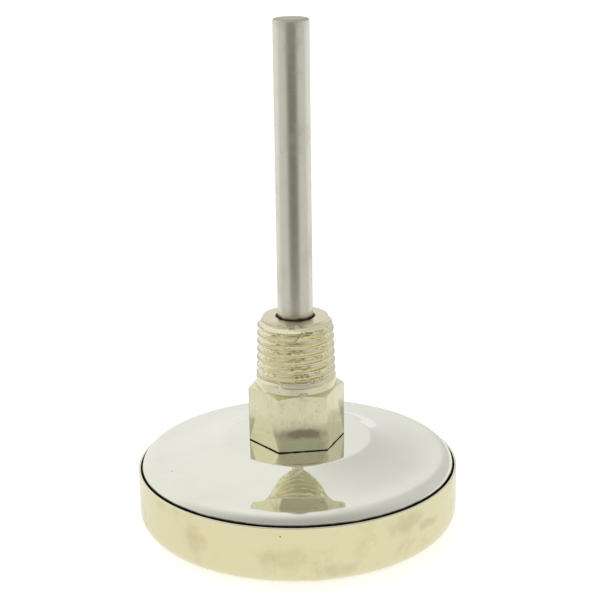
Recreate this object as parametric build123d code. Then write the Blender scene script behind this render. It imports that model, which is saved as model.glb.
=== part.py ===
from build123d import *
import math
import os

# Bimetal dial thermometer, centre back entry, lying on its dial face with the stem up.
# Millimetres. Origin: centre of the plane that the front of the case rests on.
# +Z runs up the stem to its tip. The dial is read from below, looking along +Z, with +Y at its top.

# ---- driving dimensions ----------------------------------------------------------------------
CASE_RADIUS = 27.5            # outside of the case band
CASE_HEIGHT = 10.3            # front plane to the band's back edge
BAND_SHEET = 0.4              # brass sheet of the band
FRONT_CORNER_RADIUS = 3.0     # outside of the drawn front corner
LIP_WIDTH = 1.9               # flat front lip, inwards from the corner
EDGE_ROUND = 0.15             # broken edges of sheet metal

GASKET_THICKNESS = 0.6
WINDOW_THICKNESS = 1.5
SPACER_THICKNESS = 3.0        # room for the pointer between window and dial
SPACER_WALL = 1.0
DIAL_THICKNESS = 0.5
STACK_CLEARANCE = 1.3         # window and spacer edge to the band's inside
DIAL_CLEARANCE = 0.9          # dial edge to the band's inside

PLATE_SHEET = 0.5             # stainless sheet of the back plate
PLATE_GAP = 0.2               # dark gap between the band and the plate's rolled edge
PLATE_ROLL_RADIUS = 2.1       # rolled edge of the back plate
PLATE_PROUD = 1.772           # top of the rolled edge above the band
PLATE_ANNULUS_WIDTH = 1.2     # straight outer part, inside the rolled edge
PLATE_ANNULUS_SLOPE = 1.0     # degrees, rising outwards
PLATE_VALLEY_RADIUS = 17.0    # bend between the annulus and the flare
PLATE_FLARE_FOOT_SLOPE = 11.0  # degrees, where the flare meets the valley
PLATE_FLARE_TOP_SLOPE = 25.0  # degrees, where the flare meets the seat's bend
PLATE_SEAT_BEND = 1.6         # bend between the flare and the seat
SEAT_RADIUS = 12.4            # flat seat that the hexagon stands on
PLATE_FOOT_WIDTH = 1.6        # flange at the bottom of the plate's skirt
PLATE_FOOT_CLEARANCE = 0.02   # pressed foot to the band's inside

HEX_FLATS = 14.29             # 9/16 inch across flats
HEX_HEIGHT = 9.85
HEX_YAW = 8.2                 # degrees, a corner from +X
HEX_CHAMFER_ANGLE = 20.0      # turned chamfer on the hexagon's corners
THREAD_PITCH = 1.411          # 18 threads per inch
THREAD_TAPER = 1.0 / 16.0     # on the diameter
THREAD_CREST_RADIUS = 6.86    # at the hexagon end
THREAD_DEPTH = 0.92
THREAD_CREST_WIDTH = 0.2
THREAD_CREST_INSET = 0.04     # ridge's crest inside the turned cone of the blank
THREAD_ROOT_OVERLAP = 0.1     # ridge's base sunk in the core
THREAD_FLANK_ANGLE = 30.0
THREAD_LENGTH = 12.1          # hexagon to the end face
THREAD_RUNOUT = 1.7           # plain collar next to the hexagon
THREAD_LEAD_CHAMFER = 1.25    # chamfer at the free end
THREAD_CREST_OFFSET = 5.68    # hexagon to one of the crests on the +X side

STEM_RADIUS = 3.0
STEM_WALL = 0.5
STEM_EXPOSED = 49.8           # fitting's end face to the stem's tip
STEM_STEP_HEIGHT = 5.25       # neck's end to the step in the bore that the stem stands on
STEM_NECKING = 0.2            # the stem is drawn down by this inside the fitting
STEM_BRAZE_GAP = 0.02
SOLDER_RECESS_DEPTH = 0.9     # open counterbore round the stem at the fitting's end face
SOLDER_RECESS_WIDTH = 0.4
SOLDER_THICKNESS = 0.5
TIP_THICKNESS = 1.0
TIP_ROUND = 0.35
TIP_REGISTER = 1.0            # the cap's spigot inside the tube

SPIGOT_RADIUS = 4.5           # the fitting's neck through the back plate
SPIGOT_PROUD = 0.2            # neck's end beyond the lock nut
SPIGOT_CLEARANCE = 0.05
WASHER_THICKNESS = 0.6
WASHER_RADIUS = 7.3
BRIDGE_SHEET = 0.7
BRIDGE_WIDTH = 6.0
BRIDGE_NUT_CLEARANCE = 0.5    # lock nut's corners to the inside of a leg
BRIDGE_FOOT_LENGTH = 5.5
LOCK_NUT_FLATS = 13.0
LOCK_NUT_HEIGHT = 2.5

SHAFT_RADIUS = 0.6
SHAFT_RUNNING_GAP = 0.05
SHAFT_IN_HELIX = 2.0          # shaft's end beyond the middle of the first turn
CASE_BUSHING_LENGTH = 3.0
STEM_BUSHING_LENGTH = 2.0
STEM_BUSHING_DEPTH = 0.7      # its lower end below the fitting's end face
BUSHING_SEAT_GAP = 0.02
COLLAR_RADIUS = 1.6
COLLAR_LENGTH = 3.0
HELIX_RADIUS = 1.75           # middle of the bimetal strip
HELIX_PITCH = 2.2
HELIX_BUSHING_GAP = 5.0       # least room between the stem bushing and the first turn
STRIP_THICKNESS = 0.25
STRIP_WIDTH = 1.6
ANCHOR_LENGTH = 1.6
ANCHOR_NECK_RADIUS = 1.6
ANCHOR_NECK_LENGTH = 1.2
ANCHOR_TIP_GAP = 0.2

POINTER_THICKNESS = 0.3
POINTER_SEAT = 0.5            # hub's front face to the pointer's
POINTER_REACH = 19.0          # axis to the pointer's tip
POINTER_TAIL = 6.5
POINTER_WIDTH = 1.8
POINTER_TIP_WIDTH = 0.35
POINTER_TAIL_WIDTH = 3.0
POINTER_REST_ANGLE = 0.0      # degrees from +X, at room temperature
HUB_RADIUS = 2.2
HUB_WINDOW_GAP = 0.7          # window to the hub's front face
HUB_LENGTH = 1.6

DIAL_CENTRE_HOLE = 1.2
SCREW_RADIUS = 1.0
SCREW_HEAD_RADIUS = 1.9
SCREW_HEAD_HEIGHT = 0.8
SCREW_LENGTH = 1.6            # shank beyond the dial's front face
SCREW_SLOT_WIDTH = 0.4
SCREW_SLOT_DEPTH = 0.35
STOP_CIRCLE = 10.0
STOP_RADIUS = 0.4
STOP_PAST_POINTER = 0.3       # pins reach this far past the pointer's front face
SCALE_SWEEP = 270.0           # degrees of dial from the lowest to the highest mark
STOP_OVERRUN = 9.0            # stop pin beyond the end mark

# ---- heights worked out from them ------------------------------------------------------------
BAND_INSIDE = CASE_RADIUS - BAND_SHEET
GASKET_BOTTOM = BAND_SHEET
WINDOW_BOTTOM = GASKET_BOTTOM + GASKET_THICKNESS
SPACER_BOTTOM = WINDOW_BOTTOM + WINDOW_THICKNESS
DIAL_BOTTOM = SPACER_BOTTOM + SPACER_THICKNESS
DIAL_TOP = DIAL_BOTTOM + DIAL_THICKNESS
PLATE_SKIRT_RADIUS = BAND_INSIDE - PLATE_GAP
HUB_FRONT = SPACER_BOTTOM + HUB_WINDOW_GAP
POINTER_HEIGHT = HUB_FRONT + POINTER_SEAT


def rise(angle):
    return math.sin(math.radians(angle))


def run(angle):
    return math.cos(math.radians(angle))


# The back plate's outside runs from the seat through a bend, the flare, the valley bend and the straight
# annulus to the rolled edge. The flare's radius and the seat's height follow from the slopes between.
ANNULUS_END_RADIUS = PLATE_SKIRT_RADIUS - PLATE_ROLL_RADIUS * (1 + rise(PLATE_ANNULUS_SLOPE))
VALLEY_END_RADIUS = ANNULUS_END_RADIUS - PLATE_ANNULUS_WIDTH * run(PLATE_ANNULUS_SLOPE)
FLARE_END_RADIUS = VALLEY_END_RADIUS - PLATE_VALLEY_RADIUS * (
    rise(PLATE_FLARE_FOOT_SLOPE) + rise(PLATE_ANNULUS_SLOPE))
FLARE_START_RADIUS = SEAT_RADIUS + PLATE_SEAT_BEND * rise(PLATE_FLARE_TOP_SLOPE)
PLATE_FLARE_RADIUS = (FLARE_END_RADIUS - FLARE_START_RADIUS) / (
    rise(PLATE_FLARE_TOP_SLOPE) - rise(PLATE_FLARE_FOOT_SLOPE))
PLATE_RISE = (
    PLATE_SEAT_BEND * (1 - run(PLATE_FLARE_TOP_SLOPE))
    + PLATE_FLARE_RADIUS * (run(PLATE_FLARE_FOOT_SLOPE) - run(PLATE_FLARE_TOP_SLOPE))
    + PLATE_VALLEY_RADIUS * (run(PLATE_ANNULUS_SLOPE) - run(PLATE_FLARE_FOOT_SLOPE))
    - PLATE_ANNULUS_WIDTH * rise(PLATE_ANNULUS_SLOPE)
    - PLATE_ROLL_RADIUS * (1 - run(PLATE_ANNULUS_SLOPE)))
SEAT_HEIGHT = CASE_HEIGHT + PLATE_PROUD + PLATE_RISE
PLATE_INSIDE = SEAT_HEIGHT - PLATE_SHEET
HEX_TOP = SEAT_HEIGHT + HEX_HEIGHT
THREAD_TOP = HEX_TOP + THREAD_LENGTH
WASHER_BOTTOM = PLATE_INSIDE - WASHER_THICKNESS
BRIDGE_BOTTOM = WASHER_BOTTOM - BRIDGE_SHEET
NUT_BOTTOM = BRIDGE_BOTTOM - LOCK_NUT_HEIGHT
SPIGOT_BOTTOM = NUT_BOTTOM - SPIGOT_PROUD
BRIDGE_LEG_REACH = LOCK_NUT_FLATS / math.sqrt(3) + BRIDGE_NUT_CLEARANCE
SCREW_CIRCLE = BRIDGE_LEG_REACH + BRIDGE_SHEET + BRIDGE_FOOT_LENGTH / 2
STEM_BOTTOM = SPIGOT_BOTTOM + STEM_STEP_HEIGHT
STEM_TOP = THREAD_TOP + STEM_EXPOSED
STEM_INSIDE = STEM_RADIUS - STEM_WALL
STEM_NECK = STEM_RADIUS - STEM_NECKING
STEM_BUSHING_BOTTOM = THREAD_TOP - STEM_BUSHING_DEPTH

# The helix hangs from its anchor under the tip and fills the stem down to the bushing in whole turns.
ANCHOR_TOP = STEM_TOP - TIP_THICKNESS - TIP_REGISTER - ANCHOR_TIP_GAP
ANCHOR_BOTTOM = ANCHOR_TOP - ANCHOR_LENGTH
HELIX_TOP = ANCHOR_BOTTOM - STRIP_WIDTH / 2
HELIX_ROOM = HELIX_TOP - STEM_BUSHING_BOTTOM - STEM_BUSHING_LENGTH - HELIX_BUSHING_GAP
HELIX_LENGTH = HELIX_PITCH * math.floor(HELIX_ROOM / HELIX_PITCH)
HELIX_BOTTOM = HELIX_TOP - HELIX_LENGTH
SHAFT_TOP = HELIX_BOTTOM + SHAFT_IN_HELIX
COLLAR_BOTTOM = SHAFT_TOP - COLLAR_LENGTH


# ---- helpers ---------------------------------------------------------------------------------
def turned(*outline):
    """Solid of revolution about Z from curves or (radius, height) corners in order."""
    if isinstance(outline[0], tuple):
        corners = [(radius, 0, height) for radius, height in outline]
        return revolve(make_face(Polyline(*corners, close=True)), Axis.Z)
    return revolve(make_face(Curve() + list(outline)), Axis.Z)


def tube(outer, inner, bottom, height):
    """Plain ring or, with no inner radius, a disc."""
    if not inner:
        return turned((0, bottom), (outer, bottom), (outer, bottom + height), (0, bottom + height))
    return turned((inner, bottom), (outer, bottom), (outer, bottom + height), (inner, bottom + height))


def line(start, end):
    """Straight edge between two (radius, height) points in the XZ plane."""
    return Line((start[0], 0, start[1]), (end[0], 0, end[1]))


def hexagon(flats, bottom, height, yaw):
    """Hexagonal prism across the given flats with a corner at yaw degrees from +X."""
    outline = RegularPolygon(radius=flats / 2, side_count=6, major_radius=False, rotation=yaw)
    return extrude(Pos(0, 0, bottom) * outline, height)


def on_circle(radius, angle, height):
    """Location on a circle about Z."""
    turn = math.radians(angle)
    return Pos(radius * math.cos(turn), radius * math.sin(turn), height)


# ---- case ------------------------------------------------------------------------------------
def bezel_band():
    corner = CASE_RADIUS - FRONT_CORNER_RADIUS
    lip = corner - LIP_WIDTH
    inner_corner = FRONT_CORNER_RADIUS - BAND_SHEET
    diagonal = math.sqrt(0.5)
    outer_mid = (corner + FRONT_CORNER_RADIUS * diagonal, 0, FRONT_CORNER_RADIUS * (1 - diagonal))
    inner_mid = (corner + inner_corner * diagonal, 0, FRONT_CORNER_RADIUS - inner_corner * diagonal)
    band = turned(
        line((lip, 0), (corner, 0)),
        ThreePointArc((corner, 0, 0), outer_mid, (CASE_RADIUS, 0, FRONT_CORNER_RADIUS)),
        line((CASE_RADIUS, FRONT_CORNER_RADIUS), (CASE_RADIUS, CASE_HEIGHT)),
        line((CASE_RADIUS, CASE_HEIGHT), (BAND_INSIDE, CASE_HEIGHT)),
        line((BAND_INSIDE, CASE_HEIGHT), (BAND_INSIDE, FRONT_CORNER_RADIUS)),
        ThreePointArc((BAND_INSIDE, 0, FRONT_CORNER_RADIUS), inner_mid, (corner, 0, BAND_SHEET)),
        line((corner, BAND_SHEET), (lip, BAND_SHEET)),
        line((lip, BAND_SHEET), (lip, 0)),
    )
    back_edges = band.edges().filter_by_position(Axis.Z, CASE_HEIGHT, CASE_HEIGHT)
    lip_edges = band.edges().filter_by(lambda edge: abs(edge.radius - lip) < 0.01 if edge.geom_type ==
                                       GeomType.CIRCLE else False)
    return fillet(back_edges + lip_edges, EDGE_ROUND)


def window_gasket():
    corner = CASE_RADIUS - FRONT_CORNER_RADIUS
    return tube(corner - 0.1, corner - LIP_WIDTH + 0.2, GASKET_BOTTOM, GASKET_THICKNESS)


def window():
    return tube(BAND_INSIDE - STACK_CLEARANCE, 0, WINDOW_BOTTOM, WINDOW_THICKNESS)


def spacer_ring():
    outer = BAND_INSIDE - STACK_CLEARANCE
    return tube(outer, outer - SPACER_WALL, SPACER_BOTTOM, SPACER_THICKNESS)


def screw_places():
    return [on_circle(SCREW_CIRCLE, angle, 0) for angle in (0, 180)]


def stop_places():
    """The stops stand either side of the gap in the scale, which is centred on -Y."""
    half_gap = (360 - SCALE_SWEEP) / 2 - STOP_OVERRUN
    return [on_circle(STOP_CIRCLE, -90 + side * half_gap, 0) for side in (-1, 1)]


def dial_plate():
    dial = tube(BAND_INSIDE - DIAL_CLEARANCE, DIAL_CENTRE_HOLE, DIAL_BOTTOM, DIAL_THICKNESS)
    for place in screw_places():
        dial -= place * tube(SCREW_RADIUS + 0.05, 0, DIAL_BOTTOM - 1, DIAL_THICKNESS + 2)
    for place in stop_places():
        dial -= place * tube(STOP_RADIUS, 0, DIAL_BOTTOM - 1, DIAL_THICKNESS + 2)
    return dial


def dial_screws():
    screws = []
    for place in screw_places():
        head = tube(SCREW_HEAD_RADIUS, 0, DIAL_BOTTOM - SCREW_HEAD_HEIGHT, SCREW_HEAD_HEIGHT)
        head = fillet(head.edges().group_by(Axis.Z)[0], SCREW_HEAD_HEIGHT * 0.6)
        shank = tube(SCREW_RADIUS, 0, DIAL_BOTTOM, SCREW_LENGTH)
        slot = Pos(0, 0, DIAL_BOTTOM - SCREW_HEAD_HEIGHT) * Box(
            3 * SCREW_HEAD_RADIUS, SCREW_SLOT_WIDTH, 2 * SCREW_SLOT_DEPTH)
        screws.append(place * (head + shank - slot))
    return Compound(children=screws)


def stop_pins():
    bottom = POINTER_HEIGHT - STOP_PAST_POINTER
    return Compound(children=[place * tube(STOP_RADIUS, 0, bottom, DIAL_TOP - bottom)
                              for place in stop_places()])


def plate_curve(depth):
    """Edges of the plate's outside from the seat to the skirt for depth 0, or of the parallel curve under it.

    Headings are in degrees above the outward direction, and a bend's radius is negative where the
    plate curls up."""
    heading = 0.0
    place = Vector(SEAT_RADIUS, 0, SEAT_HEIGHT - depth)
    edges = []
    bends = [
        (PLATE_SEAT_BEND, -PLATE_FLARE_TOP_SLOPE),
        (-PLATE_FLARE_RADIUS, -PLATE_FLARE_FOOT_SLOPE),
        (-PLATE_VALLEY_RADIUS, PLATE_ANNULUS_SLOPE),
        (None, PLATE_ANNULUS_SLOPE),
        (PLATE_ROLL_RADIUS, -90.0),
    ]
    for radius, next_heading in bends:
        if radius is None:
            end = place + Vector(run(heading), 0, rise(heading)) * PLATE_ANNULUS_WIDTH
            edges.append(Line(place, end))
        else:
            bend = radius - depth
            centre = place - Vector(-rise(heading), 0, run(heading)) * bend
            middle = (heading + next_heading) / 2
            end = centre + Vector(-rise(next_heading), 0, run(next_heading)) * bend
            edges.append(ThreePointArc(place, centre + Vector(-rise(middle), 0, run(middle)) * bend, end))
        heading = next_heading
        place = end
    return edges


def back_plate():
    outside = plate_curve(0)
    inside = plate_curve(PLATE_SHEET)
    hole = SPIGOT_RADIUS + SPIGOT_CLEARANCE
    foot = DIAL_TOP
    foot_top = foot + PLATE_SHEET
    skirt = PLATE_SKIRT_RADIUS
    inner_skirt = skirt - PLATE_SHEET
    flange = BAND_INSIDE - PLATE_FOOT_CLEARANCE
    flange_inside = flange - PLATE_FOOT_WIDTH
    roll_base = (outside[-1] @ 1).Z
    return turned(
        line((hole, SEAT_HEIGHT), (SEAT_RADIUS, SEAT_HEIGHT)),
        *outside,
        line((skirt, roll_base), (skirt, foot_top)),
        line((skirt, foot_top), (flange, foot_top)),
        line((flange, foot_top), (flange, foot)),
        line((flange, foot), (flange_inside, foot)),
        line((flange_inside, foot), (inner_skirt, foot_top)),
        line((inner_skirt, foot_top), (inner_skirt, roll_base)),
        *inside,
        line((SEAT_RADIUS, PLATE_INSIDE), (hole, PLATE_INSIDE)),
        line((hole, PLATE_INSIDE), (hole, SEAT_HEIGHT)),
    )


# ---- fitting ---------------------------------------------------------------------------------
def crest_radius(height):
    """Thread crest radius at a height: it narrows away from the hexagon."""
    return THREAD_CREST_RADIUS - (height - HEX_TOP) * THREAD_TAPER / 2


def pipe_thread():
    """Tapered shank with its helical ridge, trimmed by the lead chamfer."""
    crest_top = crest_radius(THREAD_TOP)
    chamfer_height = THREAD_TOP - THREAD_LEAD_CHAMFER
    runout = HEX_TOP + THREAD_RUNOUT
    core = turned(
        (0, HEX_TOP), (crest_radius(HEX_TOP), HEX_TOP),
        (crest_radius(runout), runout),
        (crest_radius(runout + THREAD_DEPTH) - THREAD_DEPTH, runout + THREAD_DEPTH),
        (crest_top - THREAD_DEPTH, THREAD_TOP), (0, THREAD_TOP))
    envelope = turned(
        (0, HEX_TOP), (crest_radius(HEX_TOP), HEX_TOP),
        (crest_radius(chamfer_height), chamfer_height),
        (crest_top - THREAD_LEAD_CHAMFER, THREAD_TOP), (0, THREAD_TOP))
    start = HEX_TOP + THREAD_CREST_OFFSET
    while start > runout:
        start -= THREAD_PITCH
    turns = math.ceil((THREAD_TOP - start) / THREAD_PITCH)
    height = turns * THREAD_PITCH
    root = crest_radius(start) - THREAD_DEPTH
    cone = -math.degrees(math.atan(THREAD_TAPER / 2))
    path = Pos(0, 0, start) * Helix(THREAD_PITCH, height, root, cone_angle=cone)
    sunk = root - THREAD_ROOT_OVERLAP
    crest = root + THREAD_DEPTH - THREAD_CREST_INSET
    half_crest = THREAD_CREST_WIDTH / 2
    flank_rise = (THREAD_DEPTH + THREAD_ROOT_OVERLAP) * math.tan(math.radians(THREAD_FLANK_ANGLE))
    half_sunk = half_crest + flank_rise
    section = make_face(Polyline(
        (sunk, 0, start - half_sunk), (crest, 0, start - half_crest),
        (crest, 0, start + half_crest), (sunk, 0, start + half_sunk), close=True))
    ridge = sweep(section, path=path, is_frenet=True)
    return core + (ridge & envelope)


def hex_fitting():
    corner = HEX_FLATS / math.sqrt(3)
    body = hexagon(HEX_FLATS, SEAT_HEIGHT, HEX_HEIGHT, HEX_YAW)
    flat = HEX_FLATS / 2
    fall = (corner - flat) * math.tan(math.radians(HEX_CHAMFER_ANGLE))
    body &= turned((0, SEAT_HEIGHT), (corner + 1, SEAT_HEIGHT), (corner + 1, HEX_TOP - fall),
                   (corner, HEX_TOP - fall), (flat, HEX_TOP), (0, HEX_TOP))
    body += tube(SPIGOT_RADIUS, 0, SPIGOT_BOTTOM, SEAT_HEIGHT - SPIGOT_BOTTOM)
    body += pipe_thread()
    recess = STEM_RADIUS + SOLDER_RECESS_WIDTH
    body -= tube(STEM_INSIDE, 0, SPIGOT_BOTTOM - 1, THREAD_TOP - SPIGOT_BOTTOM + 2)
    body -= tube(STEM_NECK + STEM_BRAZE_GAP, 0, STEM_BOTTOM, THREAD_TOP - STEM_BOTTOM + 1)
    body -= tube(recess, 0, THREAD_TOP - SOLDER_RECESS_DEPTH, SOLDER_RECESS_DEPTH + 1)
    return body


def seat_washer():
    return tube(WASHER_RADIUS, SPIGOT_RADIUS + SPIGOT_CLEARANCE, WASHER_BOTTOM, WASHER_THICKNESS)


def dial_bridge():
    """Stamping with a round saddle under the washer, two legs and two tapped feet behind the dial."""
    leg_outside = BRIDGE_LEG_REACH + BRIDGE_SHEET
    foot_end = leg_outside + BRIDGE_FOOT_LENGTH
    saddle_top = WASHER_BOTTOM
    foot_top = DIAL_TOP + BRIDGE_SHEET
    corners = [(leg_outside, saddle_top), (leg_outside, foot_top), (foot_end, foot_top),
               (foot_end, DIAL_TOP), (BRIDGE_LEG_REACH, DIAL_TOP), (BRIDGE_LEG_REACH, BRIDGE_BOTTOM)]
    outline = corners + [(-x, z) for x, z in reversed(corners)]
    face = make_face(Polyline(*[(x, BRIDGE_WIDTH / 2, z) for x, z in outline], close=True))
    bridge = extrude(face, BRIDGE_WIDTH, dir=(0, -1, 0))
    bridge += tube(WASHER_RADIUS, 0, BRIDGE_BOTTOM, BRIDGE_SHEET)
    bridge -= tube(SPIGOT_RADIUS + SPIGOT_CLEARANCE, 0, BRIDGE_BOTTOM - 1, BRIDGE_SHEET + 2)
    for place in screw_places():
        bridge -= place * tube(SCREW_RADIUS, 0, DIAL_TOP - 1, BRIDGE_SHEET + 2)
    return bridge


def lock_nut():
    corner = LOCK_NUT_FLATS / math.sqrt(3)
    flat = LOCK_NUT_FLATS / 2
    fall = (corner - flat) * math.tan(math.radians(HEX_CHAMFER_ANGLE))
    nut = hexagon(LOCK_NUT_FLATS, NUT_BOTTOM, LOCK_NUT_HEIGHT, 0)
    nut &= turned((0, NUT_BOTTOM), (flat, NUT_BOTTOM), (corner, NUT_BOTTOM + fall),
                  (corner, BRIDGE_BOTTOM), (0, BRIDGE_BOTTOM))
    return nut - tube(SPIGOT_RADIUS, 0, NUT_BOTTOM - 1, LOCK_NUT_HEIGHT + 2)


# ---- stem ------------------------------------------------------------------------------------
def stem_tube():
    """Tube drawn down a little where it stands in the fitting."""
    top = STEM_TOP - TIP_THICKNESS
    return turned((STEM_INSIDE, STEM_BOTTOM), (STEM_NECK, STEM_BOTTOM), (STEM_NECK, THREAD_TOP),
                  (STEM_RADIUS, THREAD_TOP), (STEM_RADIUS, top), (STEM_INSIDE, top))


def stem_tip():
    """Welded end cap with a short register inside the tube."""
    cap = tube(STEM_RADIUS, 0, STEM_TOP - TIP_THICKNESS, TIP_THICKNESS)
    cap = fillet(cap.edges().group_by(Axis.Z)[-1], TIP_ROUND)
    return cap + tube(STEM_INSIDE, 0, STEM_TOP - TIP_THICKNESS - TIP_REGISTER, TIP_REGISTER)


def solder_ring():
    bottom = THREAD_TOP - SOLDER_RECESS_DEPTH
    return tube(STEM_RADIUS + SOLDER_RECESS_WIDTH, STEM_NECK, bottom, SOLDER_THICKNESS)


def case_bushing():
    return tube(STEM_INSIDE, SHAFT_RADIUS + SHAFT_RUNNING_GAP, SPIGOT_BOTTOM, CASE_BUSHING_LENGTH)


def stem_bushing():
    return tube(STEM_INSIDE - BUSHING_SEAT_GAP, SHAFT_RADIUS + SHAFT_RUNNING_GAP,
                STEM_BUSHING_BOTTOM, STEM_BUSHING_LENGTH)


def helix_anchor():
    """Plug pressed into the tube near the tip; the helix's last turn is welded to its neck."""
    plug = tube(STEM_INSIDE - BUSHING_SEAT_GAP, 0, ANCHOR_BOTTOM, ANCHOR_LENGTH)
    return plug + tube(ANCHOR_NECK_RADIUS, 0, ANCHOR_BOTTOM - ANCHOR_NECK_LENGTH, ANCHOR_NECK_LENGTH)


def bimetal_helix():
    """Edge-wound strip: its width lies along the axis."""
    path = Pos(0, 0, HELIX_BOTTOM) * Helix(HELIX_PITCH, HELIX_LENGTH, HELIX_RADIUS)
    half = STRIP_THICKNESS / 2
    low = HELIX_BOTTOM - STRIP_WIDTH / 2
    section = make_face(Polyline(
        (HELIX_RADIUS - half, 0, low), (HELIX_RADIUS + half, 0, low),
        (HELIX_RADIUS + half, 0, low + STRIP_WIDTH), (HELIX_RADIUS - half, 0, low + STRIP_WIDTH), close=True))
    return sweep(section, path=path, is_frenet=True)


# ---- pointer ---------------------------------------------------------------------------------
def pointer_shaft():
    return tube(SHAFT_RADIUS, 0, HUB_FRONT, SHAFT_TOP - HUB_FRONT)


def shaft_collar():
    return tube(COLLAR_RADIUS, SHAFT_RADIUS, COLLAR_BOTTOM, COLLAR_LENGTH)


def pointer_hub():
    pointer_top = POINTER_HEIGHT + POINTER_THICKNESS
    hub = turned((SHAFT_RADIUS, HUB_FRONT), (HUB_RADIUS * 0.75, HUB_FRONT), (HUB_RADIUS, HUB_FRONT + 0.3),
                 (HUB_RADIUS, POINTER_HEIGHT), (HUB_RADIUS * 0.6, POINTER_HEIGHT),
                 (HUB_RADIUS * 0.6, pointer_top), (HUB_RADIUS * 0.8, pointer_top),
                 (HUB_RADIUS * 0.8, HUB_FRONT + HUB_LENGTH), (SHAFT_RADIUS, HUB_FRONT + HUB_LENGTH))
    return hub


def pointer():
    blade = make_face(Polyline(
        (POINTER_REACH, POINTER_TIP_WIDTH / 2, POINTER_HEIGHT), (0, POINTER_WIDTH / 2, POINTER_HEIGHT),
        (-POINTER_TAIL, POINTER_TAIL_WIDTH / 2, POINTER_HEIGHT),
        (-POINTER_TAIL, -POINTER_TAIL_WIDTH / 2, POINTER_HEIGHT),
        (0, -POINTER_WIDTH / 2, POINTER_HEIGHT), (POINTER_REACH, -POINTER_TIP_WIDTH / 2, POINTER_HEIGHT),
        close=True))
    plate = extrude(blade, POINTER_THICKNESS, dir=(0, 0, 1))
    plate += tube(HUB_RADIUS, 0, POINTER_HEIGHT, POINTER_THICKNESS)
    plate -= tube(HUB_RADIUS * 0.6, 0, POINTER_HEIGHT - 1, POINTER_THICKNESS + 2)
    return Rot(0, 0, POINTER_REST_ANGLE) * plate


PIECES = {
    "bezel_band": bezel_band,
    "window_gasket": window_gasket,
    "window": window,
    "spacer_ring": spacer_ring,
    "dial_plate": dial_plate,
    "dial_screws": dial_screws,
    "stop_pins": stop_pins,
    "back_plate": back_plate,
    "hex_fitting": hex_fitting,
    "seat_washer": seat_washer,
    "dial_bridge": dial_bridge,
    "lock_nut": lock_nut,
    "stem_tube": stem_tube,
    "stem_tip": stem_tip,
    "solder_ring": solder_ring,
    "case_bushing": case_bushing,
    "stem_bushing": stem_bushing,
    "helix_anchor": helix_anchor,
    "bimetal_helix": bimetal_helix,
    "shaft_collar": shaft_collar,
    "pointer_shaft": pointer_shaft,
    "pointer_hub": pointer_hub,
    "pointer": pointer,
}


os.makedirs("parts", exist_ok=True)
for name, build in PIECES.items():
    export_step(build(), f"parts/{name}.step")
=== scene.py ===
"""A dial thermometer standing on its dial face with its stem up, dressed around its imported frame.

The frame holds every piece at its real size. This script gives each one its finish, replaces the ones whose
polish or thread needs a better surface, and adds what is printed on the dial. Sizes are in millimetres and
become metres through MM, positions come from the frame, and +Z runs up the stem.
"""

from __future__ import annotations

import logging
import math
from dataclasses import dataclass
from enum import Enum
from typing import Any, Iterable, Sequence

import bpy
from mathutils import Matrix, Vector

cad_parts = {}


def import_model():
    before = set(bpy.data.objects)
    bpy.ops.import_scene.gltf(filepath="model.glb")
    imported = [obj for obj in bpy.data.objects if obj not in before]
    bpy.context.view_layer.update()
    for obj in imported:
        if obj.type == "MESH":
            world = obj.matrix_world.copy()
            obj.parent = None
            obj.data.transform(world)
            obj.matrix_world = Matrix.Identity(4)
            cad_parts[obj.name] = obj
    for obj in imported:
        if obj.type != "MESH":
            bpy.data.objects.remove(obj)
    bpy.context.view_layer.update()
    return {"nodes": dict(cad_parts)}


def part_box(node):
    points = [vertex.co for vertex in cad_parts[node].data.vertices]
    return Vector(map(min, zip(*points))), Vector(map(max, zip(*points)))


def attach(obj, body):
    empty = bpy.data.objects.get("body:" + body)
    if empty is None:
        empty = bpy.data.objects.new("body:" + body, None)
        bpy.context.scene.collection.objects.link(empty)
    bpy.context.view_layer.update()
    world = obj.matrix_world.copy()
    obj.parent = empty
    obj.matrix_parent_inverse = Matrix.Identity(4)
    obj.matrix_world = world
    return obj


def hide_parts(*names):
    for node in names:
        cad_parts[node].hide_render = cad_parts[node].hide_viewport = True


LOG = logging.getLogger("thermometer")
MM = 0.001
SEAT_HEIGHT = 14.768          # where the hexagon stands on the back plate
FITTING_TOP = 36.718          # end face of the thread
TIP_TOP = 86.518              # end of the stem
CASE_BODY = "case"
Point = tuple[float, float]
Colour = tuple[float, float, float]


# ---- working in the viewport -----------------------------------------------------------------
def deselect_all() -> None:
    """Leave object mode with nothing selected."""
    if bpy.context.object and bpy.context.object.mode != "OBJECT":
        bpy.ops.object.mode_set(mode="OBJECT")
    bpy.ops.object.select_all(action="DESELECT")


def select_only(piece: bpy.types.Object) -> None:
    """Make one object the selected and active one."""
    deselect_all()
    piece.select_set(True)
    bpy.context.view_layer.objects.active = piece


def smooth(piece: bpy.types.Object, degrees: float = 30.0) -> None:
    """Shade a piece smooth except across edges sharper than an angle."""
    select_only(piece)
    bpy.ops.object.shade_smooth_by_angle(angle=math.radians(degrees))


def join(pieces: Sequence[bpy.types.Object], name: str) -> bpy.types.Object:
    """Join meshes into one object.

    Args:
        pieces: The objects to join.
        name: The joined object's name.

    Returns:
        The joined object.
    """
    select_only(pieces[0])
    for piece in pieces[1:]:
        piece.select_set(True)
    bpy.ops.object.join()
    joined = bpy.context.object
    joined.name = name
    return joined


def place_on(piece: bpy.types.Object, body: str, material: bpy.types.Material,
             stands_for: Sequence[str] = ()) -> None:
    """Give a finished piece its finish and its body, and hide the frame nodes that it stands for.

    Args:
        piece: The finished piece.
        body: The frame body that it moves with.
        material: Its finish.
        stands_for: The frame nodes that it replaces.
    """
    piece.data.materials.clear()
    piece.data.materials.append(material)
    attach(piece, body)
    if stands_for:
        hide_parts(*stands_for)
    LOG.info("%s: %d faces on %s", piece.name, len(piece.data.polygons), body)


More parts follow.
